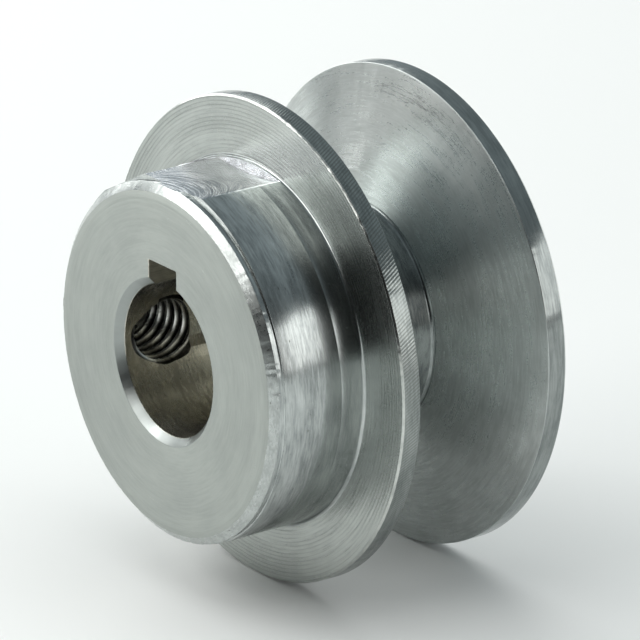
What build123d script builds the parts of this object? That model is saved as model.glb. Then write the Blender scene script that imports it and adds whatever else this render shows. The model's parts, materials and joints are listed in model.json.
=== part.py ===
"""Single-groove V-belt pulley with a one-sided hub, and its hub set screw.

Millimetres. The shaft axis is Y and the hub's face looks along -Y. The origin is on the shaft axis
in the mid-plane of the belt groove. The keyway is at the top (+Z) and the set screw is on the -X side.
"""
import os
from math import radians, sqrt, tan

from build123d import *

INCH = 25.4

# Rim and belt groove
RIM_RADIUS = 1.0 * INCH
GROOVE_TOP_WIDTH = 16.1
GROOVE_ANGLE = 34.0               # included angle between the two flanks, degrees
GROOVE_ROOT_RADIUS = 11.8
GROOVE_ROOT_FILLET = 0.5
GROOVE_LIP_CHAMFER = 0.12
FRONT_LAND = 2.1                  # width of the rim on the hub side
REAR_LAND = 2.45                  # width of the rim on the plain side
FRONT_RIM_CHAMFER = (0.3, 0.45)   # along the axis, across it
REAR_RIM_CHAMFER = (0.4, 0.4)

# Hub
HUB_RADIUS = 0.75 * INCH
HUB_LENGTH = 7 / 16 * INCH        # from the flange to the hub's face
HUB_FILLET = 0.4
HUB_CHAMFER = (0.7, 0.85)         # along the axis, across it
HUB_FACE_BEVEL = (0.08, 0.6)      # shallow turned band inside the chamfer

# Bore and keyway
BORE_RADIUS = 5 / 16 * INCH
BORE_CHAMFER = 0.8
KEYWAY_WIDTH = 3 / 16 * INCH + 0.05
KEYWAY_HEIGHT = 10.3              # from the shaft axis to the keyway's floor

# Milled flat on the hub, over the keyway
FLAT_HEIGHT = 18.4                # from the shaft axis
FLAT_NEAR_END = 10.5              # from the hub's face, on the -X side
FLAT_FAR_END = 11.0               # from the hub's face, on the +X side
FLAT_CORNER_X = -4.8
FLAT_CORNER_RADIUS = 1.7
FLAT_SIDE_SLANT = 0.6             # how much wider the cut is at the hub's face than at the corner

# Set screw, 5/16-18 x 1/4 inch, with a hexagon socket and a cup point
SCREW_THREAD_RADIUS = 5 / 32 * INCH
SCREW_CLEARANCE = 0.05            # between the screw and its hole, on the radius
SCREW_LENGTH = 1 / 4 * INCH
SCREW_TIP_TO_BORE = 6.8           # how far the cup point stands back from the bore's wall
SCREW_TOP_CHAMFER = 0.6
SCREW_TIP_CHAMFER = 1.1
SCREW_CUP_RADIUS = 2.0
SCREW_CUP_DEPTH = 0.9
SOCKET_ACROSS_FLATS = 5 / 32 * INCH
SOCKET_DEPTH = 3.2
HOLE_MOUTH_CHAMFER = 0.5

# Places along the shaft axis
GROOVE_HALF = GROOVE_TOP_WIDTH / 2
FLANGE_FACE_Y = -(GROOVE_HALF + FRONT_LAND)
HUB_FACE_Y = FLANGE_FACE_Y - HUB_LENGTH
REAR_FACE_Y = GROOVE_HALF + REAR_LAND
ROOT_HALF = GROOVE_HALF - (RIM_RADIUS - GROOVE_ROOT_RADIUS) * tan(radians(GROOVE_ANGLE / 2))
SCREW_Y = HUB_FACE_Y + HUB_LENGTH / 2

# The set screw's tip and the plane of its outer end, whose normal points at the shaft
SCREW_TIP_X = -(BORE_RADIUS + SCREW_TIP_TO_BORE)
SCREW_END_PLANE = Plane(
    origin=(SCREW_TIP_X - SCREW_LENGTH, SCREW_Y, 0), x_dir=(0, 1, 0), z_dir=(1, 0, 0)
)


def section_outline():
    """Corners of the pulley's section, as (distance from the axis, place along it)."""
    bevel_depth, bevel_width = HUB_FACE_BEVEL
    chamfer_depth, chamfer_width = HUB_CHAMFER
    front_depth, front_width = FRONT_RIM_CHAMFER
    rear_depth, rear_width = REAR_RIM_CHAMFER
    hub_edge_y = HUB_FACE_Y + bevel_depth
    return [
        (BORE_RADIUS, HUB_FACE_Y + BORE_CHAMFER),
        (BORE_RADIUS + BORE_CHAMFER, HUB_FACE_Y),
        (HUB_RADIUS - chamfer_width - bevel_width, HUB_FACE_Y),
        (HUB_RADIUS - chamfer_width, hub_edge_y),
        (HUB_RADIUS, hub_edge_y + chamfer_depth),
        (HUB_RADIUS, FLANGE_FACE_Y),
        (RIM_RADIUS - front_width, FLANGE_FACE_Y),
        (RIM_RADIUS, FLANGE_FACE_Y + front_depth),
        (RIM_RADIUS, -GROOVE_HALF),
        (GROOVE_ROOT_RADIUS, -ROOT_HALF),
        (GROOVE_ROOT_RADIUS, ROOT_HALF),
        (RIM_RADIUS, GROOVE_HALF),
        (RIM_RADIUS, REAR_FACE_Y - rear_depth),
        (RIM_RADIUS - rear_width, REAR_FACE_Y),
        (BORE_RADIUS + BORE_CHAMFER, REAR_FACE_Y),
        (BORE_RADIUS, REAR_FACE_Y - BORE_CHAMFER),
    ]


def corners_at(section, radius, places):
    """Corners of a section at one radius and at any of the given places along the axis."""
    return [
        vertex
        for vertex in section.vertices()
        if abs(vertex.X - radius) < 1e-4 and any(abs(vertex.Y - y) < 1e-4 for y in places)
    ]


def turned_blank():
    """The pulley as it leaves the lathe: hub, flanges, groove and bore."""
    with BuildSketch(Plane.XY) as section:
        with BuildLine():
            Polyline(*section_outline(), close=True)
        make_face()
        fillet(corners_at(section, GROOVE_ROOT_RADIUS, (-ROOT_HALF, ROOT_HALF)), GROOVE_ROOT_FILLET)
        fillet(corners_at(section, HUB_RADIUS, (FLANGE_FACE_Y,)), HUB_FILLET)
        chamfer(corners_at(section, RIM_RADIUS, (-GROOVE_HALF, GROOVE_HALF)), GROOVE_LIP_CHAMFER)
    return revolve(section.sketch, axis=Axis.Y, revolution_arc=360)


def keyway_cutter():
    """A square slot through the whole bore, on the +Z side."""
    length = REAR_FACE_Y - HUB_FACE_Y + 4.0
    middle_y = (REAR_FACE_Y + HUB_FACE_Y) / 2
    return Pos(0, middle_y, KEYWAY_HEIGHT / 2) * Box(KEYWAY_WIDTH, length, KEYWAY_HEIGHT)


def flat_cutter():
    """What the end mill takes off the top of the hub. Its end slants and has one round corner."""
    near_corner = (FLAT_CORNER_X, HUB_FACE_Y + FLAT_NEAR_END)
    far_corner = (HUB_RADIUS / 2, HUB_FACE_Y + FLAT_FAR_END)
    front_y = HUB_FACE_Y - 1.0
    with BuildSketch(Plane.XY.offset(FLAT_HEIGHT)) as outline:
        with BuildLine():
            Polyline(
                near_corner,
                far_corner,
                (HUB_RADIUS / 2, front_y),
                (FLAT_CORNER_X - FLAT_SIDE_SLANT, front_y),
                close=True,
            )
        make_face()
        fillet(outline.vertices().sort_by_distance((*near_corner, FLAT_HEIGHT))[0], FLAT_CORNER_RADIUS)
    return extrude(outline.sketch, amount=HUB_RADIUS - FLAT_HEIGHT + 1.0)


def screw_hole_cutter():
    """The set screw's hole through the hub wall, its mouth broken by a small countersink."""
    hole_radius = SCREW_THREAD_RADIUS + SCREW_CLEARANCE
    outer_plane = Plane(origin=(-HUB_RADIUS - 1.0, SCREW_Y, 0), x_dir=(0, 1, 0), z_dir=(1, 0, 0))
    hole = extrude(outer_plane * Circle(hole_radius), amount=HUB_RADIUS + 1.0)
    mouth_x = sqrt(HUB_RADIUS**2 - hole_radius**2)
    cone_length = HUB_RADIUS + 1.0 - mouth_x + HOLE_MOUTH_CHAMFER
    countersink = outer_plane.location * Cone(
        hole_radius + cone_length,
        hole_radius,
        cone_length,
        align=(Align.CENTER, Align.CENTER, Align.MIN),
    )
    return hole + countersink


def pulley_body():
    """The whole pulley but its screw: one piece of steel."""
    body = turned_blank() - keyway_cutter() - flat_cutter() - screw_hole_cutter()
    return body.solid()


def set_screw():
    """The grub screw in its hole, its socket outwards and its cup point towards the shaft."""
    with BuildSketch(Plane.XZ) as section:
        with BuildLine():
            Polyline(
                (0, 0),
                (SCREW_THREAD_RADIUS - SCREW_TOP_CHAMFER, 0),
                (SCREW_THREAD_RADIUS, SCREW_TOP_CHAMFER),
                (SCREW_THREAD_RADIUS, SCREW_LENGTH - SCREW_TIP_CHAMFER),
                (SCREW_THREAD_RADIUS - SCREW_TIP_CHAMFER, SCREW_LENGTH),
                (SCREW_CUP_RADIUS, SCREW_LENGTH),
                (0, SCREW_LENGTH - SCREW_CUP_DEPTH),
                close=True,
            )
        make_face()
    blank = revolve(section.sketch, axis=Axis.Z, revolution_arc=360)
    socket = extrude(RegularPolygon(SOCKET_ACROSS_FLATS / sqrt(3), 6), amount=SOCKET_DEPTH)
    screw = SCREW_END_PLANE.location * (blank - socket)
    return screw.solid()


def main():
    os.makedirs("parts", exist_ok=True)
    for name, solid in (("pulley_body", pulley_body()), ("set_screw", set_screw())):
        solid.label = name
        export_step(solid, f"parts/{name}.step")


main()
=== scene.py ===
"""Looks of the single-groove V-belt pulley and its set screw.

Meshes are built in millimetres and turned into metres at the end. The shaft axis is Y, the hub's face
looks along -Y, the keyway is at the top (+Z) and the set screw is on the -X side. An angle round the
shaft is measured from +Z towards +X.
"""
import json
from math import acos, ceil, cos, degrees, floor, pi, radians, sin, sqrt, tan

import bmesh
import bpy
import numpy as np
from mathutils import Matrix, Vector


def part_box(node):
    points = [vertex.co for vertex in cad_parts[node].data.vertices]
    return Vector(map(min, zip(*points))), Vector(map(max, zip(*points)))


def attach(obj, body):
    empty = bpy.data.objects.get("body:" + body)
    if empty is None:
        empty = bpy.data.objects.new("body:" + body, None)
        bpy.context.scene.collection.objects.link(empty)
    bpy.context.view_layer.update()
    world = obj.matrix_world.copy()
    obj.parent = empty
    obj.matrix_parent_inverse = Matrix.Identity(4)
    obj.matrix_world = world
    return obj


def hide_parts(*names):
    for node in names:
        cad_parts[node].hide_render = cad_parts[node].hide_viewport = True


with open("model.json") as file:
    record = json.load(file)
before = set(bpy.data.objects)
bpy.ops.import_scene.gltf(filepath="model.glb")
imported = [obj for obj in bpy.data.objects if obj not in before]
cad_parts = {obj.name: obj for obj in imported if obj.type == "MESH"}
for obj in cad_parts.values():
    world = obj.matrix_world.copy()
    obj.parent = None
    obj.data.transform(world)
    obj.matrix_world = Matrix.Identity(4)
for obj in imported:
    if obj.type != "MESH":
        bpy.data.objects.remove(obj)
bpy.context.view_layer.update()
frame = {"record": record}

MM = 0.001
INCH = 25.4

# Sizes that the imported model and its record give
body_low, body_high = (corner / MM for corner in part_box("pulley_body"))
screw_low, screw_high = (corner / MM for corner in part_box("set_screw"))
mounts = {mount["name"]: mount for mount in frame["record"]["mounts"]}
RIM_RADIUS = body_high.x
HUB_FACE_Y = body_low.y
REAR_FACE_Y = body_high.y
BORE_RADIUS = mounts["bore"]["dims"]["r_mm"]
GROOVE_ROOT_RADIUS = mounts["belt_groove"]["pos_m"][2] / MM
SCREW_Y = (screw_low.y + screw_high.y) / 2

# Turned section
HUB_RADIUS = 0.75 * INCH
HUB_LENGTH = 7 / 16 * INCH
FLANGE_FACE_Y = HUB_FACE_Y + HUB_LENGTH
GROOVE_HALF = 8.05
GROOVE_ANGLE = 34.0
ROOT_HALF = GROOVE_HALF - (RIM_RADIUS - GROOVE_ROOT_RADIUS) * tan(radians(GROOVE_ANGLE / 2))
BORE_CHAMFER = 0.8
HUB_CHAMFER = (0.7, 0.85)          # along the axis, across it
HUB_FACE_BEVEL = (0.08, 0.6)
FRONT_RIM_CHAMFER = (0.2, 0.17)
REAR_RIM_CHAMFER = (0.4, 0.4)
LATHE_STEPS = 576                  # divisions round the shaft
RAGGED_WAVES = 220                 # most waves round the shaft in an uneven edge
SMOOTH_ANGLE = 28                  # degrees; a steeper edge stays sharp

# Last cut on the hub's front edge, a little off centre
HUB_SKIM_LENGTH = 1.35
HUB_SKIM_ANGLE = -10.0             # where it is deepest
HUB_SKIM_MOST = 0.58
HUB_SKIM_LEAST = 0.1
HUB_SKIM_REACH = 2.6               # how far in from the hub's side it comes, fading over the first mm

# Tool marks that are deep enough to see: (feed, depth) of the grooves that each cut leaves
FACING_MARKS = (0.405, 0.006)
REAR_FACING_MARKS = (0.8, 0.006)
# Single rings turned into the hub: (distance from the hub's face, width, depth). The first has no
# depth and only adds points to the section, so that the skim ends in a small step.
HUB_RINGS = [
    (1.28, 0.06, 0.0),
    (1.48, 0.12, 0.02),
    (5.2, 0.3, 0.004),
    (8.3, 0.18, 0.014),
    (9.6, 0.25, 0.005),
]
# Rings on the hub's face: (radius, width, depth)
HUB_FACE_RINGS = [(12.1, 0.3, 0.003), (14.6, 0.3, 0.004), (16.3, 0.25, 0.006), (17.1, 0.2, 0.006)]

# Keyway
KEYWAY_WIDTH = 3 / 16 * INCH + 0.05
KEYWAY_HEIGHT = 10.3
KEYWAY_EDGE_BREAK = 0.08
KEYWAY_CORNER_RADIUS = 0.18

# Milled flat over the keyway
FLAT_HEIGHT = 18.4
FLAT_LEFT = -12.5
FLAT_RIGHT = 5.7
FLAT_EDGE = sqrt(HUB_RADIUS**2 - FLAT_HEIGHT**2)
FLAT_SHOULDER_ANGLE = 27.3         # the cut falls away to the left of the flat itself
FLAT_EDGE_BREAK = 0.08
FLAT_EDGE_BREAK_ANGLE = 7.5
FLAT_END = HUB_FACE_Y + 10.7
FLAT_END_SLOPE = 0.5 / 14.3
FLAT_CORNER_X = -3.1               # where the end of the cut starts to curve towards the hub's face
FLAT_CORNER_RADIUS = 9.5
MILL_RADIUS = 5.3
MILL_CENTRE_X = 0.85
MILL_FEED = 0.3
MILL_MARK_DEPTH = 0.0025
MILL_LEAST_REACH = 0.3             # keeps the mill's arc real beside its path

# Set screw and its hole, 5/16-18
THREAD_PITCH = INCH / 18
THREAD_START_X = screw_low.x - 4   # screw and hole take their threads from one helix, so they mesh
THREAD_LENGTH = 24
HOLE_MAJOR_RADIUS = 5 / 32 * INCH + 0.05
HOLE_MINOR_RADIUS = 3.27
SCREW_THREAD_GAP = 0.08            # between the two threads, on the radius
THREAD_STEPS = 96
SOCKET_ACROSS_FLATS = 5 / 32 * INCH
SOCKET_DEPTH = 3.2
SOCKET_TURN = 14                   # degrees about the screw's own axis


# ---------------------------------------------------------------- mesh helpers

def mesh_object(name, vertices, faces, zones=None):
    """An object from points in millimetres. zones holds one material index for each face."""
    mesh = bpy.data.meshes.new(name)
    mesh.from_pydata([tuple(v) for v in vertices], [], [tuple(f) for f in faces])
    if zones is not None:
        mesh.polygons.foreach_set("material_index", np.asarray(zones, np.int32))
    tidy = bmesh.new()
    tidy.from_mesh(mesh)
    bmesh.ops.recalc_face_normals(tidy, faces=tidy.faces)
    tidy.to_mesh(mesh)
    tidy.free()
    made = bpy.data.objects.new(name, mesh)
    bpy.context.scene.collection.objects.link(made)
    return made


def combine(base, cutter, operation="DIFFERENCE"):
    """Cuts base with cutter, or keeps what they share, and removes the cutter."""
    modifier = base.modifiers.new("cut", "BOOLEAN")
    modifier.operation = operation
    modifier.solver = "MANIFOLD"
    modifier.object = cutter
    bpy.context.view_layer.update()
    evaluated = base.evaluated_get(bpy.context.evaluated_depsgraph_get())
    result = bpy.data.meshes.new_from_object(evaluated)
    base.modifiers.clear()
    old = base.data
    base.data = result
    bpy.data.meshes.remove(old)
    bpy.data.objects.remove(cutter)
    return base


def finish_mesh(piece, sharp_angle, materials):
    """Puts a finished mesh into metres, smooths it by angle and gives it its materials.
    Clearing the materials resets every face's index, so the indices are kept aside first."""
    mesh = piece.data
    mesh.transform(Matrix.Scale(MM, 4))
    zones = np.zeros(len(mesh.polygons), np.int32)
    mesh.polygons.foreach_get("material_index", zones)
    mesh.materials.clear()
    for material in materials:
        mesh.materials.append(material)
    mesh.polygons.foreach_set("material_index", zones)
    mesh.shade_smooth()
    mesh.set_sharp_from_angle(angle=radians(sharp_angle))
    mesh.update()
    return piece


def rounded(corners):
    """A closed outline with round corners. A corner is (radius, y, rounding, zone of the side after it).
    Returns points and, for each point, the zone of the side that follows it."""
    points, zones = [], []
    count = len(corners)
    for i, (r, y, rounding, zone) in enumerate(corners):
        here = np.array([r, y])
        before = np.array(corners[i - 1][:2]) - here
        after = np.array(corners[(i + 1) % count][:2]) - here
        before /= np.linalg.norm(before)
        after /= np.linalg.norm(after)
        corner_angle = acos(float(np.clip(before @ after, -1, 1)))
        turn = pi - corner_angle
        reach = rounding * tan(turn / 2)
        bisector = before + after
        bisector /= np.linalg.norm(bisector)
        centre = here + bisector * rounding / sin(corner_angle / 2)
        start = here + before * reach - centre
        end = here + after * reach - centre
        steps = max(2, ceil(degrees(turn) / 15))
        for k in range(steps + 1):
            share = k / steps
            spoke = start * sin((1 - share) * turn) + end * sin(share * turn)
            points.append(centre + spoke / sin(turn))
            zones.append(zone if k == steps else corners[i - 1][3])
    return points, zones


def add_marks(points, zones, zone, feed, depth):
    """Divides the side of one zone into the shallow scallops that a turning tool leaves."""
    new_points, new_zones = [], []
    for i, (point, here) in enumerate(zip(points, zones)):
        new_points.append(point)
        new_zones.append(here)
        following = points[(i + 1) % len(points)]
        length = np.linalg.norm(following - point)
        if here != zone or length < 3 * feed:
            continue
        along = (following - point) / length
        inwards = np.array([-along[1], along[0]])
        marks = round(length / feed)
        for k in range(1, 4 * marks):
            in_mark = (k % 4) / 4
            sink = depth * 4 * in_mark * (1 - in_mark)
            new_points.append(point + along * length * k / (4 * marks) + inwards * sink)
            new_zones.append(here)
    return new_points, new_zones


def add_rings(points, zones, zone, rings, axis):
    """Sinks single rings into the side of one zone. A ring is (place along the side, width, depth)."""
    new_points, new_zones = [], []
    for i, (point, here) in enumerate(zip(points, zones)):
        new_points.append(point)
        new_zones.append(here)
        following = points[(i + 1) % len(points)]
        length = np.linalg.norm(following - point)
        if here != zone or length < 2:
            continue
        along = (following - point) / length
        inwards = np.array([-along[1], along[0]])
        for place, width, depth in rings:
            for across, sink in ((-0.5, 0), (-0.2, 0.8), (0, 1), (0.2, 0.8), (0.5, 0)):
                distance = (place + across * width - point[axis]) / along[axis]
                new_points.append(point + along * distance + inwards * depth * sink)
                new_zones.append(here)
    return new_points, new_zones


def wander(seed, waves):
    """A smooth random value from 0 to 1 for each lathe step."""
    random = np.random.default_rng(seed)
    turn = np.arange(LATHE_STEPS) * 2 * pi / LATHE_STEPS
    total = np.zeros(LATHE_STEPS)
    for _ in range(14):
        wave = random.integers(3, waves)
        total += random.uniform(0.4, 1) * np.sin(wave * turn + random.uniform(0, 2 * pi))
    total -= total.min()
    return total / total.max()


def hub_skim(turn, radius, y):
    """How much the last cut on the hub's front edge took off, more at the top than elsewhere."""
    if y > HUB_FACE_Y + HUB_SKIM_LENGTH or not HUB_RADIUS - HUB_SKIM_REACH < radius < HUB_RADIUS + 0.1:
        return 0.0
    share = min(1.0, radius - HUB_RADIUS + HUB_SKIM_REACH)
    top = np.maximum(0.0, np.cos(turn - radians(HUB_SKIM_ANGLE)))
    return share * (HUB_SKIM_LEAST + (HUB_SKIM_MOST - HUB_SKIM_LEAST) * top**2)


def revolve(name, points, zones, zone_order, ragged=()):
    """A body of revolution about Y from a closed outline of (radius, y).
    ragged holds the edges that are a little uneven, as (radius, y, reach, depth)."""
    turn = np.arange(LATHE_STEPS) * 2 * pi / LATHE_STEPS
    vertices = []
    for radius, y in points:
        ring_radius = radius - hub_skim(turn, radius, y) * np.ones(LATHE_STEPS)
        for seed, (edge_radius, edge_y, reach, depth) in enumerate(ragged):
            closeness = 1 - np.hypot(radius - edge_radius, y - edge_y) / reach
            if closeness > 0:
                ring_radius -= depth * wander(seed, RAGGED_WAVES) ** 3 * min(1, 2 * closeness)
        x, z = ring_radius * np.sin(turn), ring_radius * np.cos(turn)
        vertices.extend(np.stack([x, np.full(LATHE_STEPS, y), z], 1))
    faces, face_zones = [], []
    count = len(points)
    for i in range(count):
        low, high = i * LATHE_STEPS, (i + 1) % count * LATHE_STEPS
        for k in range(LATHE_STEPS):
            m = (k + 1) % LATHE_STEPS
            faces.append((low + k, high + k, high + m, low + m))
            face_zones.append(zone_order.index(zones[i]))
    return mesh_object(name, vertices, faces, face_zones)


# ---------------------------------------------------------------- the pulley's one piece of steel

ZONES = ["hub_face", "hub_chamfer", "hub_side", "flange_face", "edge", "front_rim", "flank", "root",
         "rear_rim", "rear_face", "bore_edge", "bore", "keyway", "flat", "thread"]


def pulley_corners():
    """Corners of the turned section: (radius, y, rounding, zone of the side that follows)."""
    bevel_depth, bevel_width = HUB_FACE_BEVEL
    chamfer_depth, chamfer_width = HUB_CHAMFER
    front_depth, front_width = FRONT_RIM_CHAMFER
    rear_depth, rear_width = REAR_RIM_CHAMFER
    bevel_y = HUB_FACE_Y + bevel_depth
    return [
        (BORE_RADIUS, HUB_FACE_Y + BORE_CHAMFER, 0.15, "bore_edge"),
        (BORE_RADIUS + BORE_CHAMFER, HUB_FACE_Y, 0.12, "hub_face"),
        (HUB_RADIUS - chamfer_width - bevel_width, HUB_FACE_Y, 0.3, "hub_face"),
        (HUB_RADIUS - chamfer_width, bevel_y, 0.06, "hub_chamfer"),
        (HUB_RADIUS, bevel_y + chamfer_depth, 0.06, "hub_side"),
        (HUB_RADIUS, FLANGE_FACE_Y, 0.35, "flange_face"),
        (RIM_RADIUS - front_width, FLANGE_FACE_Y, 0.05, "edge"),
        (RIM_RADIUS, FLANGE_FACE_Y + front_depth, 0.05, "front_rim"),
        (RIM_RADIUS, -GROOVE_HALF, 0.1, "flank"),
        (GROOVE_ROOT_RADIUS, -ROOT_HALF, 0.5, "root"),
        (GROOVE_ROOT_RADIUS, ROOT_HALF, 0.5, "flank"),
        (RIM_RADIUS, GROOVE_HALF, 0.1, "rear_rim"),
        (RIM_RADIUS, REAR_FACE_Y - rear_depth, 0.05, "edge"),
        (RIM_RADIUS - rear_width, REAR_FACE_Y, 0.05, "rear_face"),
        (BORE_RADIUS + BORE_CHAMFER, REAR_FACE_Y, 0.08, "bore_edge"),
        (BORE_RADIUS, REAR_FACE_Y - BORE_CHAMFER, 0.15, "bore"),
    ]


def turned_blank():
    """The pulley as it leaves the lathe."""
    points, zones = rounded(pulley_corners())
    points, zones = add_rings(points, zones, "hub_face", HUB_FACE_RINGS, axis=0)
    hub_rings = [(HUB_FACE_Y + place, width, depth) for place, width, depth in HUB_RINGS]
    points, zones = add_rings(points, zones, "hub_side", hub_rings, axis=1)
    points, zones = add_marks(points, zones, "flange_face", *FACING_MARKS)
    points, zones = add_marks(points, zones, "rear_face", *REAR_FACING_MARKS)
    ragged = [
        (RIM_RADIUS, -GROOVE_HALF, 0.12, 0.03),
        (RIM_RADIUS, GROOVE_HALF, 0.12, 0.04),
        (HUB_RADIUS, HUB_FACE_Y + HUB_FACE_BEVEL[0] + HUB_CHAMFER[0], 0.18, 0.11),
        (HUB_RADIUS - HUB_CHAMFER[1], HUB_FACE_Y + HUB_FACE_BEVEL[0], 0.15, 0.08),
        (RIM_RADIUS, FLANGE_FACE_Y + FRONT_RIM_CHAMFER[0], 0.15, 0.07),
        (RIM_RADIUS - FRONT_RIM_CHAMFER[1], FLANGE_FACE_Y, 0.12, 0.08),
    ]
    return revolve("pulley", points, zones, ZONES, ragged)


def loft(name, sections, zone):
    """A closed solid through loops of points that have the same number of points each."""
    size = len(sections[0])
    vertices = [point for section in sections for point in section]
    faces = [list(range(size)), list(range(len(vertices) - size, len(vertices)))]
    for i in range(len(sections) - 1):
        for k in range(size):
            m = (k + 1) % size
            low, high = i * size, (i + 1) * size
            faces.append((low + k, low + m, high + m, high + k))
    return mesh_object(name, vertices, faces, [ZONES.index(zone)] * len(faces))


def keyway_cutter():
    """The broach's slot, with its edges broken at both faces of the pulley."""
    ends = [
        (HUB_FACE_Y - 1, KEYWAY_EDGE_BREAK + 1),
        (HUB_FACE_Y + KEYWAY_EDGE_BREAK, 0),
        (REAR_FACE_Y - KEYWAY_EDGE_BREAK, 0),
        (REAR_FACE_Y + 1, KEYWAY_EDGE_BREAK + 1),
    ]
    corner = KEYWAY_CORNER_RADIUS
    sections = []
    for y, grow in ends:
        half = KEYWAY_WIDTH / 2 + grow
        top = KEYWAY_HEIGHT + grow
        loop = [(-half, y, 0), (half, y, 0)]
        for k in range(5):
            angle = pi / 2 * k / 4
            loop.append((half - corner + corner * cos(angle), y, top - corner + corner * sin(angle)))
        for k in range(5):
            angle = pi / 2 * (1 + k / 4)
            loop.append((-half + corner + corner * cos(angle), y, top - corner + corner * sin(angle)))
        sections.append(loop)
    return loft("keyway", sections, "keyway")


def flat_end_y(x):
    """How far along the hub the end mill went, at a place across it."""
    end = FLAT_END + x * FLAT_END_SLOPE
    inset = FLAT_CORNER_X - x
    if inset > 0:
        end -= FLAT_CORNER_RADIUS - sqrt(max(0.0, FLAT_CORNER_RADIUS**2 - inset**2))
    return end


def flat_floor_z(x, y):
    """The flat's height with the curved marks of the end mill, its two edges broken."""
    reach = max(MILL_LEAST_REACH, MILL_RADIUS**2 - (x - MILL_CENTRE_X) ** 2)
    phase = (y - HUB_FACE_Y - sqrt(reach)) / MILL_FEED
    in_mark = phase - floor(phase)
    broken = tan(radians(FLAT_EDGE_BREAK_ANGLE)) * max(0.0, x - FLAT_EDGE + FLAT_EDGE_BREAK)
    shoulder = tan(radians(FLAT_SHOULDER_ANGLE)) * max(0.0, -FLAT_EDGE - x)
    return FLAT_HEIGHT - broken - shoulder - MILL_MARK_DEPTH * 4 * in_mark * (1 - in_mark)


def flat_cutter():
    """What the end mill takes off the top of the hub."""
    columns, rows = 220, 150
    front_y = HUB_FACE_Y - 1.0
    vertices = []
    for j in range(rows + 1):
        for i in range(columns + 1):
            share = i / columns
            x = FLAT_LEFT + (FLAT_RIGHT - FLAT_LEFT) * share
            y = front_y + (flat_end_y(x) - front_y) * j / rows
            vertices.append((x, y, flat_floor_z(x, y)))
    width = columns + 1
    faces = []
    for j in range(rows):
        for i in range(columns):
            corner = j * width + i
            faces.append((corner, corner + 1, corner + width + 1, corner + width))
    rim = list(range(width))
    rim += [j * width + columns for j in range(1, rows + 1)]
    rim += [rows * width + i for i in range(columns - 1, -1, -1)]
    rim += [j * width for j in range(rows - 1, 0, -1)]
    first_top = len(vertices)
    for index in rim:
        x, y, _ = vertices[index]
        vertices.append((x, y, HUB_RADIUS + 1))
    for k in range(len(rim)):
        m = (k + 1) % len(rim)
        faces.append((rim[k], rim[m], first_top + m, first_top + k))
    centre = len(vertices)
    vertices.append((0, HUB_FACE_Y + HUB_LENGTH / 2, HUB_RADIUS + 1))
    for k in range(len(rim)):
        faces.append((first_top + k, first_top + (k + 1) % len(rim), centre))
    return mesh_object("flat", vertices, faces, [ZONES.index("flat")] * len(faces))


def thread_solid(name, minor_radius, major_radius, zone_index):
    """A right-hand 60 degree thread about the set screw's axis, as a closed solid.
    shape is one turn of it, as (share of the pitch, share of the height)."""
    flank = (major_radius - minor_radius) * tan(radians(30)) / THREAD_PITCH
    crest = 0.125
    root = 1 - crest - 2 * flank
    shape = [
        (0.0, 0.0),
        (root, 0.0),
        (root + 0.12 * flank, 0.08),
        (root + 0.9 * flank, 0.94),
        (root + flank + 0.02, 1.0),
        (root + flank + crest - 0.02, 1.0),
        (1 - 0.9 * flank, 0.94),
        (1 - 0.12 * flank, 0.08),
    ]
    per_turn = len(shape)
    rows = ceil(THREAD_LENGTH / THREAD_PITCH) * per_turn
    vertices = []
    for row in range(rows + 1):
        along, height = shape[row % per_turn]
        radius = minor_radius + (major_radius - minor_radius) * height
        for k in range(THREAD_STEPS):
            angle = 2 * pi * k / THREAD_STEPS
            x = THREAD_START_X + THREAD_PITCH * (row // per_turn + along + k / THREAD_STEPS)
            vertices.append((x, SCREW_Y + radius * cos(angle), radius * sin(angle)))
    faces = []
    for row in range(rows):
        for k in range(THREAD_STEPS - 1):
            corner = row * THREAD_STEPS + k
            faces.append((corner, corner + 1, corner + THREAD_STEPS + 1, corner + THREAD_STEPS))
        last = row * THREAD_STEPS + THREAD_STEPS - 1
        joined = row + per_turn
        if joined + 1 <= rows:
            first = joined * THREAD_STEPS
            faces.append((last, first, first + THREAD_STEPS, last + THREAD_STEPS))
    faces += thread_ends(vertices, rows, per_turn)
    return mesh_object(name, vertices, faces, [zone_index] * len(faces))


def thread_ends(vertices, rows, per_turn):
    """Fans that close the two sloping ends of a thread."""
    low_loop = list(range(THREAD_STEPS)) + [row * THREAD_STEPS for row in range(per_turn, 0, -1)]
    high_start = rows * THREAD_STEPS
    high_loop = [(row + 1) * THREAD_STEPS - 1 for row in range(rows - per_turn, rows)]
    high_loop += range(high_start + THREAD_STEPS - 1, high_start - 1, -1)
    faces = []
    for loop in (low_loop, high_loop):
        middle_x = sum(vertices[index][0] for index in loop) / len(loop)
        centre = len(vertices)
        vertices.append((middle_x, SCREW_Y, 0))
        for k in range(len(loop)):
            faces.append((loop[k], loop[(k + 1) % len(loop)], centre))
    return faces


def cone_solid(name, stations, steps, zone_index, spin=0.0):
    """A closed solid about the set screw's axis through rings at (x, radius)."""
    vertices, faces = [], []
    for x, radius in stations:
        for k in range(steps):
            angle = 2 * pi * k / steps + spin
            vertices.append((x, SCREW_Y + radius * cos(angle), radius * sin(angle)))
    for i in range(len(stations) - 1):
        for k in range(steps):
            m = (k + 1) % steps
            faces.append((i * steps + k, i * steps + m, (i + 1) * steps + m, (i + 1) * steps + k))
    faces.append(list(range(steps)))
    faces.append(list(range((len(stations) - 1) * steps, len(stations) * steps)))
    return mesh_object(name, vertices, faces, [zone_index] * len(faces))


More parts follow.
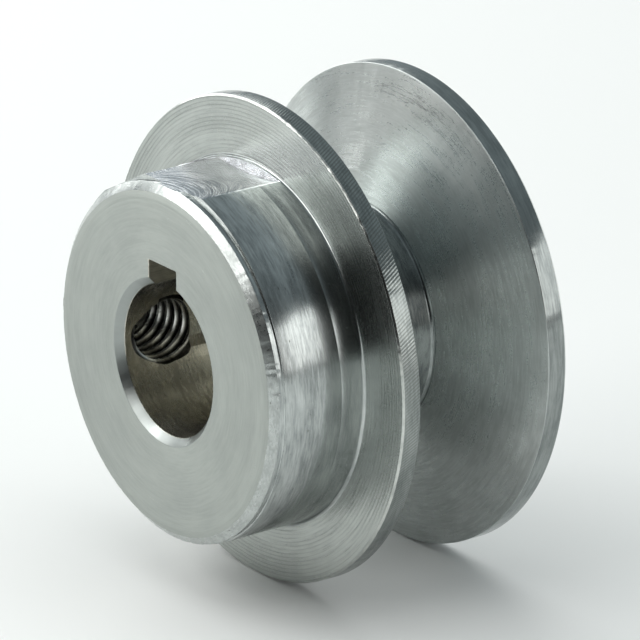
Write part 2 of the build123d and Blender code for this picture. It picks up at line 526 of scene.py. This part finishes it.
def nick_cutter(angle, radius, y, size, lean):
    """A small wedge-shaped dent. size is its (tangential, radial, axial) half lengths."""
    made = bmesh.new()
    bmesh.ops.create_icosphere(made, subdivisions=2, radius=1)
    tangent = Vector((cos(radians(angle)), 0, -sin(radians(angle))))
    outward = Vector((sin(radians(angle)), 0, cos(radians(angle))))
    axial = Vector((0, 1, 0))
    basis = Matrix((tangent * size[0], outward * size[1], axial * size[2])).transposed()
    place = outward * radius + axial * y
    lean_turn = Matrix.Rotation(radians(lean), 3, outward)
    for vertex in made.verts:
        vertex.co = lean_turn @ (basis @ vertex.co) + place
    mesh = bpy.data.meshes.new("nick")
    made.to_mesh(mesh)
    made.free()
    for polygon in mesh.polygons:
        polygon.material_index = ZONES.index("edge")
    cutter = bpy.data.objects.new("nick", mesh)
    bpy.context.scene.collection.objects.link(cutter)
    return cutter


def pulley_body():
    """The whole pulley but its screw."""
    edge, thread = ZONES.index("edge"), ZONES.index("thread")
    body = turned_blank()
    combine(body, keyway_cutter())
    combine(body, flat_cutter())
    combine(body, thread_solid("tap", HOLE_MINOR_RADIUS, HOLE_MAJOR_RADIUS, thread))
    mouth_x = -sqrt(HUB_RADIUS**2 - HOLE_MAJOR_RADIUS**2)
    outer = [(mouth_x - 3, HOLE_MAJOR_RADIUS + 3.5), (mouth_x + 1.3, HOLE_MINOR_RADIUS - 0.1)]
    combine(body, cone_solid("outer_mouth", outer, THREAD_STEPS, edge))
    wall_x = -sqrt(BORE_RADIUS**2 - HOLE_MAJOR_RADIUS**2)
    inner = [(wall_x - 1.5, HOLE_MINOR_RADIUS - 0.1), (wall_x + 0.9, HOLE_MINOR_RADIUS + 0.55)]
    combine(body, cone_solid("inner_mouth", inner, THREAD_STEPS, edge))
    chamfer_y = HUB_FACE_Y + HUB_FACE_BEVEL[0]
    chamfer_r = HUB_RADIUS - HUB_CHAMFER[1]
    nicks = [
        (11, chamfer_r + 0.4, chamfer_y + 0.3, (0.06, 0.6, 0.35), 15),
        (13, chamfer_r - 0.05, chamfer_y, (0.1, 0.25, 0.12), 0),
        (54, HUB_RADIUS + 0.05, chamfer_y + 0.75, (0.22, 0.2, 0.3), 30),
    ]
    for nick in nicks:
        combine(body, nick_cutter(*nick))
    return body


def set_screw():
    """The grub screw: rolled thread, hexagon socket and cup point."""
    radius = HOLE_MAJOR_RADIUS - SCREW_THREAD_GAP
    screw = thread_solid("screw", HOLE_MINOR_RADIUS - SCREW_THREAD_GAP, radius, 0)
    mouth, tip = screw_low.x, screw_high.x
    blank = [
        (mouth, radius - 0.75),
        (mouth + 0.06, radius - 0.66),
        (mouth + 0.62, radius),
        (tip - 1.1, radius),
        (tip - 0.08, radius - 1.05),
        (tip, radius - 1.2),
    ]
    combine(screw, cone_solid("blank", blank, THREAD_STEPS, 0), "INTERSECT")
    cup = [(tip - 0.95, 0.05), (tip - 0.8, 0.4), (tip + 0.3, 2.3)]
    combine(screw, cone_solid("cup", cup, THREAD_STEPS, 0))
    corner_radius = SOCKET_ACROSS_FLATS / sqrt(3)
    socket = [
        (mouth - 0.5, corner_radius + 0.012),
        (mouth + SOCKET_DEPTH, corner_radius),
        (mouth + SOCKET_DEPTH + 0.8, 0.25),
    ]
    combine(screw, cone_solid("socket", socket, 6, 1, spin=radians(SOCKET_TURN)))
    mouth_cone = [(mouth - 0.5, corner_radius + 0.75), (mouth + 0.45, corner_radius - 0.2)]
    combine(screw, cone_solid("mouth", mouth_cone, THREAD_STEPS, 0))
    return screw


# ---------------------------------------------------------------- materials

def add_node(tree, kind, inputs=None, **settings):
    """A shader node with its settings. An input is a number, a colour or another node's output."""
    made = tree.nodes.new(kind)
    for name, value in settings.items():
        setattr(made, name, value)
    for name, value in (inputs or {}).items():
        socket = made.inputs[name]
        if isinstance(value, bpy.types.NodeSocket):
            tree.links.new(value, socket)
        else:
            socket.default_value = value
    return made


def calc(tree, operation, first, second=0.0):
    """One sum of two numbers."""
    return add_node(tree, "ShaderNodeMath", {0: first, 1: second}, operation=operation).outputs[0]


def span(tree, value, low, high, to_low, to_high):
    """A value mapped from one range to another and kept inside it."""
    inputs = {"Value": value, "From Min": low, "From Max": high, "To Min": to_low, "To Max": to_high}
    return add_node(tree, "ShaderNodeMapRange", inputs).outputs["Result"]


def hypotenuse(tree, first, second):
    """The length of two numbers at right angles."""
    squares = [calc(tree, "MULTIPLY", side, side) for side in (first, second)]
    return calc(tree, "SQRT", calc(tree, "ADD", *squares))


def noise(tree, vector, scale, detail=3.0, roughness=0.55):
    """Noise from 0 to 1."""
    inputs = {"Vector": vector, "Scale": scale, "Detail": detail, "Roughness": roughness}
    return add_node(tree, "ShaderNodeTexNoise", inputs).outputs["Fac"]


def place(tree):
    """The point's place in millimetres: (vector, x, y, z, distance from the shaft axis)."""
    coordinates = add_node(tree, "ShaderNodeTexCoord").outputs["Object"]
    inputs = {0: coordinates, "Scale": 1 / MM}
    scaled = add_node(tree, "ShaderNodeVectorMath", inputs, operation="SCALE").outputs[0]
    x, y, z = add_node(tree, "ShaderNodeSeparateXYZ", {0: scaled}).outputs
    return scaled, x, y, z, hypotenuse(tree, x, z)


def streak_vector(tree, lines_per_mm, length_share):
    """A vector that changes fast across the turning marks and slowly along them."""
    _, x, y, z, radius = place(tree)
    across = calc(tree, "MULTIPLY", calc(tree, "ADD", radius, y), lines_per_mm)
    wrap_x = calc(tree, "MULTIPLY", calc(tree, "DIVIDE", x, radius), length_share)
    wrap_z = calc(tree, "MULTIPLY", calc(tree, "DIVIDE", z, radius), length_share)
    return add_node(tree, "ShaderNodeCombineXYZ", {0: across, 1: wrap_x, 2: wrap_z}).outputs[0]


def mix_colour(tree, share, first, second):
    """A blend of two colours."""
    inputs = {
        "Factor": share,
        "A": (*first, 1.0) if isinstance(first, tuple) else first,
        "B": (*second, 1.0) if isinstance(second, tuple) else second,
    }
    made = add_node(tree, "ShaderNodeMix", data_type="RGBA")
    for socket in made.inputs:
        if not socket.enabled:
            continue
        value = inputs[socket.name]
        if isinstance(value, bpy.types.NodeSocket):
            tree.links.new(value, socket)
        else:
            socket.default_value = value
    return next(output for output in made.outputs if output.enabled)


def new_material(name):
    """An empty material's node tree and its shader."""
    material = bpy.data.materials.new(name)
    material.use_nodes = True
    tree = material.node_tree
    shader = tree.nodes["Principled BSDF"]
    shader.inputs["Metallic"].default_value = 1.0
    return material, tree, shader


STEEL = (0.47, 0.495, 0.475)
DULL = (0.36, 0.385, 0.375)
STEEL_DARK = (0.30, 0.32, 0.31)
SATIN = (0.41, 0.435, 0.41)
PALE = (0.56, 0.59, 0.58)
BRIGHT = (0.72, 0.74, 0.71)
SLATE = (0.17, 0.19, 0.19)
STAIN = (0.10, 0.11, 0.09)
BROWN = (0.74, 0.72, 0.64)
BROWN_DEEP = (0.44, 0.425, 0.37)
# Painted light on the flat: a painted highlight at its back and a painted dark reflection at its front
FLAT_PAINTED_HIGHLIGHT = (0.97, 0.98, 1.0)
FLAT_PAINTED_DARK_REFLECTION = (0.22, 0.255, 0.28)
# The tapped thread's pale crests and the painted shade in its valleys
THREAD_CREST = (0.75, 0.75, 0.71)
THREAD_PAINTED_SHADE = (0.035, 0.034, 0.03)
HATCH_SPACING = 0.36               # mm, measured across the marks on the front rim
HATCH_SLANT = 0.55


def with_pits(tree, vector, colour, pits):
    """A colour with sparse dark pits, drawn out along the turning marks."""
    inputs = {"Vector": streak_vector(tree, 1.6, 12.0), "Scale": 1.0}
    dots = add_node(tree, "ShaderNodeTexVoronoi", inputs)
    sparse = span(tree, noise(tree, vector, 0.5, 1.0), 0.5, 0.62, 0.0, 1.0)
    dot = span(tree, dots.outputs["Distance"], 0.05, 0.12, pits, 0.0)
    return mix_colour(tree, calc(tree, "MULTIPLY", dot, sparse), colour, STAIN)


def with_feed_lines(tree, radius, broad, colour, feed):
    """A colour with a dark line in each groove that a facing cut leaves."""
    mark = calc(tree, "PINGPONG", calc(tree, "SUBTRACT", radius, HUB_RADIUS), feed / 2)
    line = span(tree, mark, 0.0, feed * 0.22, 0.35, 0.0)
    presence = span(tree, broad, 0.35, 0.6, 0.3, 1.0)
    return mix_colour(tree, calc(tree, "MULTIPLY", line, presence), colour, STAIN)


def hatch_wave(tree, point, hatch):
    """A slanting ripple round the rim that comes and goes."""
    vector, x, y, z, radius = point
    round_rim = calc(tree, "MULTIPLY", calc(tree, "ARCTAN2", x, z), radius)
    diagonal = calc(tree, "ADD", round_rim, calc(tree, "MULTIPLY", y, HATCH_SLANT))
    wave = calc(tree, "SINE", calc(tree, "MULTIPLY", diagonal, 2 * pi / HATCH_SPACING))
    presence = span(tree, noise(tree, vector, 0.25, 1.0), 0.25, 0.45, 0.3, 1.0)
    return calc(tree, "MULTIPLY", calc(tree, "MULTIPLY", wave, presence), hatch)


def add_relief(tree, shader, height, relief):
    """Bumps the surface by a height, with relief in millimetres."""
    inputs = {"Height": height, "Distance": relief * MM, "Strength": 1.0}
    bump = add_node(tree, "ShaderNodeBump", inputs)
    tree.links.new(bump.outputs[0], shader.inputs["Normal"])


def turned_steel(name, roughness, anisotropy, lines_per_mm=4.0, streaks=0.5, grain=0.3, relief=0.004,
                 tint=STEEL, deep=STEEL_DARK, length=5.0, pits=0.0, hatch=0.0, feed=0.0):
    """Zinc-plated steel from the lathe: marks round the shaft, cloudy plating, and small dark pits."""
    material, tree, shader = new_material(name)
    point = place(tree)
    vector, radius = point[0], point[4]
    fine = noise(tree, streak_vector(tree, lines_per_mm, length), 1.0, 4.0, 0.65)
    broad = noise(tree, streak_vector(tree, lines_per_mm / 6, length / 3), 1.0, 3.0, 0.5)
    cloud = noise(tree, vector, 0.22, 4.0, 0.6)
    speckle = noise(tree, vector, 9.0, 2.0, 0.7)
    streak = calc(tree, "ADD", calc(tree, "MULTIPLY", fine, 0.6), calc(tree, "MULTIPLY", broad, 0.4))
    shade = span(tree, streak, 0.42, 0.60, 0.0, streaks)
    shade = calc(tree, "ADD", shade, span(tree, cloud, 0.4, 0.7, 0.0, 0.25))
    colour = mix_colour(tree, shade, tint, deep)
    if pits:
        colour = with_pits(tree, vector, colour, pits)
    if feed:
        colour = with_feed_lines(tree, radius, broad, colour, feed)
    height = calc(tree, "ADD", streak, calc(tree, "MULTIPLY", speckle, grain))
    if hatch:
        wave = hatch_wave(tree, point, hatch)
        colour = mix_colour(tree, span(tree, wave, -0.2, 0.8, 0.0, 0.5), colour, STAIN)
        height = calc(tree, "ADD", height, wave)
    tree.links.new(colour, shader.inputs["Base Color"])
    rough = calc(tree, "ADD", span(tree, streak, 0.3, 0.7, roughness * 0.7, roughness * 1.3),
                 span(tree, speckle, 0.3, 0.7, -0.03, 0.03))
    tree.links.new(rough, shader.inputs["Roughness"])
    shader.inputs["Anisotropic"].default_value = anisotropy
    shader.inputs["Anisotropic Rotation"].default_value = 0.25
    tangent = add_node(tree, "ShaderNodeTangent", direction_type="RADIAL", axis="Y").outputs[0]
    tree.links.new(tangent, shader.inputs["Tangent"])
    add_relief(tree, shader, height, relief)
    return material


def brushed_steel(name, roughness, tint, deep, scale, stretch, relief):
    """Steel with straight marks: the broached keyway and the set screw."""
    material, tree, shader = new_material(name)
    vector, *_ = place(tree)
    inputs = {0: vector, 1: stretch}
    stretched = add_node(tree, "ShaderNodeVectorMath", inputs, operation="MULTIPLY").outputs[0]
    lines = noise(tree, stretched, scale, 3.0, 0.6)
    cloud = noise(tree, vector, 0.8, 3.0, 0.6)
    blend = calc(tree, "ADD", calc(tree, "MULTIPLY", lines, 0.6), calc(tree, "MULTIPLY", cloud, 0.4))
    shade = span(tree, blend, 0.35, 0.65, 0.0, 1.0)
    tree.links.new(mix_colour(tree, shade, tint, deep), shader.inputs["Base Color"])
    tree.links.new(span(tree, lines, 0.3, 0.7, roughness * 0.8, roughness * 1.2), shader.inputs["Roughness"])
    add_relief(tree, shader, lines, relief)
    return material


def milled_steel():
    """The flat: a painted highlight makes it bright at the back, where the end mill stopped, and a painted
    dark reflection makes it bluer in front, where the mill's crescents mark it.
    """
    material, tree, shader = new_material("flat_steel")
    vector, x, y, _, _ = place(tree)
    across = calc(tree, "SUBTRACT", x, MILL_CENTRE_X)
    square = calc(tree, "SUBTRACT", MILL_RADIUS**2, calc(tree, "MULTIPLY", across, across))
    reach = calc(tree, "MAXIMUM", square, MILL_LEAST_REACH)
    phase = calc(tree, "SUBTRACT", y, calc(tree, "SQRT", reach))
    inputs = {0: calc(tree, "MULTIPLY", phase, 3.5), 1: calc(tree, "MULTIPLY", x, 0.25)}
    arcs = add_node(tree, "ShaderNodeCombineXYZ", inputs).outputs[0]
    streak = noise(tree, arcs, 1.0, 4.0, 0.6)
    cloud = noise(tree, vector, 0.35, 3.0, 0.6)
    # Painted highlight and painted dark reflection: the share of the dark reflection grows towards the hub's
    # face
    front = span(tree, y, HUB_FACE_Y + 3.0, HUB_FACE_Y + 8.5, 1.3, 0.0)
    shade = calc(tree, "MULTIPLY", front, span(tree, streak, 0.42, 0.58, 0.1, 1.0))
    shade = calc(tree, "ADD", shade, span(tree, cloud, 0.5, 0.7, 0.0, 0.2))
    tree.links.new(mix_colour(tree, shade, FLAT_PAINTED_HIGHLIGHT, FLAT_PAINTED_DARK_REFLECTION), shader.inputs["Base Color"])
    tree.links.new(span(tree, streak, 0.3, 0.7, 0.16, 0.24), shader.inputs["Roughness"])
    add_relief(tree, shader, streak, 0.002)
    return material


def thread_steel():
    """The tapped thread: pale on its crests, with painted shade darkening it in its valleys."""
    material, tree, shader = new_material("thread_steel")
    vector, _, y, z, _ = place(tree)
    depth = hypotenuse(tree, calc(tree, "SUBTRACT", y, SCREW_Y), z)
    # Painted shade: the colour darkens from the crests into the thread's valleys
    valley_shade = span(tree, depth, HOLE_MINOR_RADIUS + 0.04, HOLE_MINOR_RADIUS + 0.3, 0.0, 1.0)
    cloud = noise(tree, vector, 1.2, 3.0, 0.6)
    shade = calc(tree, "ADD", valley_shade, span(tree, cloud, 0.5, 0.75, 0.0, 0.4))
    tree.links.new(mix_colour(tree, shade, THREAD_CREST, THREAD_PAINTED_SHADE), shader.inputs["Base Color"])
    tree.links.new(span(tree, cloud, 0.3, 0.7, 0.2, 0.3), shader.inputs["Roughness"])
    return material


def pulley_materials():
    """One material for each zone, in the order of ZONES."""
    made = {
        "hub_face": turned_steel("hub_face_steel", 0.38, 0.35, 5.0, 0.25, 0.3, 0.001, tint=SATIN),
        "hub_chamfer": turned_steel("chamfer_steel", 0.3, 0.3, 4.0, 0.5, 0.8, 0.006, tint=PALE, length=40.0,
                                    pits=1.0),
        "hub_side": turned_steel("hub_side_steel", 0.22, 0.6, 4.0, 0.5, 0.5, 0.005, tint=PALE, deep=SLATE,
                                 length=9.0, pits=1.0),
        "flange_face": turned_steel("flange_face_steel", 0.25, 0.8, 4.0, 0.5, 0.5, 0.002,
                                    feed=FACING_MARKS[0]),
        "edge": turned_steel("edge_steel", 0.2, 0.2, 4.0, 0.4, 0.6, 0.006, tint=BRIGHT, length=40.0),
        "front_rim": turned_steel("front_rim_steel", 0.22, 0.5, 4.0, 0.6, 0.5, 0.004, tint=DULL, deep=SLATE,
                                  length=14.0, hatch=1.0),
        "flank": turned_steel("flank_steel", 0.3, 0.5, 3.0, 0.4, 0.3, 0.002, tint=PALE, length=7.0,
                              pits=0.4),
        "root": turned_steel("root_steel", 0.2, 0.3, 4.0, 1.0, 0.6, 0.008, tint=DULL, deep=SLATE, length=8.0,
                             pits=0.8),
        "rear_rim": turned_steel("rear_rim_steel", 0.18, 0.5, 4.0, 0.6, 0.4, 0.004, tint=DULL, deep=SLATE,
                                 length=10.0),
        "rear_face": turned_steel("rear_face_steel", 0.26, 0.8, 4.0, 0.25, 0.3, 0.002,
                                  feed=REAR_FACING_MARKS[0]),
        "bore_edge": turned_steel("bore_edge_steel", 0.36, 0.3, 4.0, 0.2, 0.3, 0.003, tint=DULL),
        "bore": turned_steel("bore_steel", 0.27, 0.5, 3.0, 1.0, 0.5, 0.006, tint=BROWN, deep=BROWN_DEEP),
        "keyway": brushed_steel("keyway_steel", 0.36, BROWN, BROWN_DEEP, 1.0, (6, 0.4, 6), 0.005),
        "flat": milled_steel(),
        "thread": thread_steel(),
    }
    return [made[zone] for zone in ZONES]


def screw_materials():
    """The screw's plated outside and the darker inside of its socket."""
    return [
        brushed_steel("screw_plating", 0.28, (0.56, 0.57, 0.56), (0.36, 0.37, 0.36), 1.0, (3, 1, 1), 0.003),
        brushed_steel("socket_steel", 0.35, (0.42, 0.43, 0.42), (0.25, 0.25, 0.24), 1.0, (0.4, 4, 4), 0.004),
    ]


# ---------------------------------------------------------------- studio

CAMERA_AZIMUTH = 53.8
CAMERA_ELEVATION = 19.96
CAMERA_DISTANCE = 568.256
CAMERA_SIDE = 15.781               # the lens axis passes this far to the right of the hub face's centre
CAMERA_RISE = 4.267                # and this far above it
CAMERA_LENS = 318.1

LAMP_WHITE = (1.0, 1.0, 0.98)
# Soft lights at the sides: (name, azimuth, elevation, width, height, radiance), angles in degrees
LAMPS = [
    ("front_high", -17, 37, 50, 26, 2.8),
    ("front_left_high", -56, 37, 26, 26, 3.2),
    ("front_left_low", -47, 2.5, 30, 7, 3.2),
    ("left", -101, 23, 40, 38, 2.6),
    ("back_right", 125, 15, 50, 27, 1.6),
]
ROOM_DARK = (0.012, 0.013, 0.013)
ROOM_BLUE = (0.30, 0.35, 0.37)
FLOOR_HALF = 3000


def direction(azimuth, elevation):
    """Unit vector from the pulley towards a place in the studio. Azimuth 0 is towards -Y, 90 towards +X."""
    a, e = radians(azimuth), radians(elevation)
    return Vector((sin(a) * cos(e), -cos(a) * cos(e), sin(e)))


def make_camera():
    """The camera at the viewing angle of the reference picture."""
    back = direction(CAMERA_AZIMUTH, CAMERA_ELEVATION)
    right = Vector((cos(radians(CAMERA_AZIMUTH)), sin(radians(CAMERA_AZIMUTH)), 0))
    up = back.cross(right)
    target = Vector((0, HUB_FACE_Y, 0)) + right * CAMERA_SIDE + up * CAMERA_RISE
    camera = bpy.data.objects.new("camera", bpy.data.cameras.new("camera"))
    bpy.context.scene.collection.objects.link(camera)
    camera.data.lens = CAMERA_LENS
    camera.data.clip_start = 0.01
    camera.data.clip_end = 20
    camera.location = (target + back * CAMERA_DISTANCE) * MM
    camera.rotation_euler = Matrix((right, up, back)).transposed().to_euler()
    bpy.context.scene.camera = camera


def softbox(name, azimuth, elevation, width, height, radiance, colour, distance=0.9):
    """A flat lamp that faces the pulley. Width and height are the angles that it fills, in degrees."""
    lamp = bpy.data.lights.new(name, "AREA")
    lamp.shape = "RECTANGLE"
    lamp.size = 2 * distance * tan(radians(width / 2))
    lamp.size_y = 2 * distance * tan(radians(height / 2))
    lamp.energy = radiance * pi * lamp.size * lamp.size_y
    lamp.color = colour
    made = bpy.data.objects.new(name, lamp)
    bpy.context.scene.collection.objects.link(made)
    towards = direction(azimuth, elevation)
    made.location = towards * distance
    made.rotation_euler = towards.to_track_quat("Z", "Y").to_euler()
    return made


def make_lights(floor):
    """Soft lights at the sides and one over the floor alone."""
    for lamp in LAMPS:
        softbox(*lamp, LAMP_WHITE)
    overhead = softbox("floor_light", 0, 90, 60, 60, 1.2, LAMP_WHITE, distance=1.2)
    lit = bpy.data.collections.new("lit_from_above")
    lit.objects.link(floor)
    overhead.light_linking.receiver_collection = lit


def make_room():
    """Dim surroundings: blue-grey above and behind the pulley, nearly black on the camera's side."""
    world = bpy.data.worlds.new("room")
    bpy.context.scene.world = world
    world.use_nodes = True
    tree = world.node_tree
    towards = add_node(tree, "ShaderNodeTexCoord").outputs["Generated"]
    bright_side = Vector((-0.4, 0.6, 0.7)).normalized()
    inputs = {0: towards, 1: bright_side}
    facing = add_node(tree, "ShaderNodeVectorMath", inputs, operation="DOT_PRODUCT")
    share = span(tree, facing.outputs["Value"], -0.1, 0.75, 0.0, 1.0)
    colour = mix_colour(tree, share, ROOM_DARK, ROOM_BLUE)
    tree.links.new(colour, tree.nodes["Background"].inputs["Color"])


def make_floor():
    """A plain pale floor that the pulley's two rims stand on."""
    corners = [(-1, -1), (1, -1), (1, 1), (-1, 1)]
    vertices = [(x * FLOOR_HALF, y * FLOOR_HALF, -RIM_RADIUS) for x, y in corners]
    made = mesh_object("floor", vertices, [(0, 1, 2, 3)])
    made.data.transform(Matrix.Scale(MM, 4))
    material, tree, shader = new_material("pale_floor")
    shader.inputs["Metallic"].default_value = 0.0
    shader.inputs["Base Color"].default_value = (0.86, 0.87, 0.86, 1)
    shader.inputs["Roughness"].default_value = 0.7
    made.data.materials.append(material)
    return made


# ---------------------------------------------------------------- the scene

def main():
    scene = bpy.context.scene
    scene.view_settings.view_transform = "Standard"
    make_camera()
    make_lights(make_floor())
    make_room()
    pulley = finish_mesh(pulley_body(), SMOOTH_ANGLE, pulley_materials())
    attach(pulley, "pulley")
    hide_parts("pulley_body")
    screw = finish_mesh(set_screw(), SMOOTH_ANGLE, screw_materials())
    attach(screw, "screw")
    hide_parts("set_screw")


main()
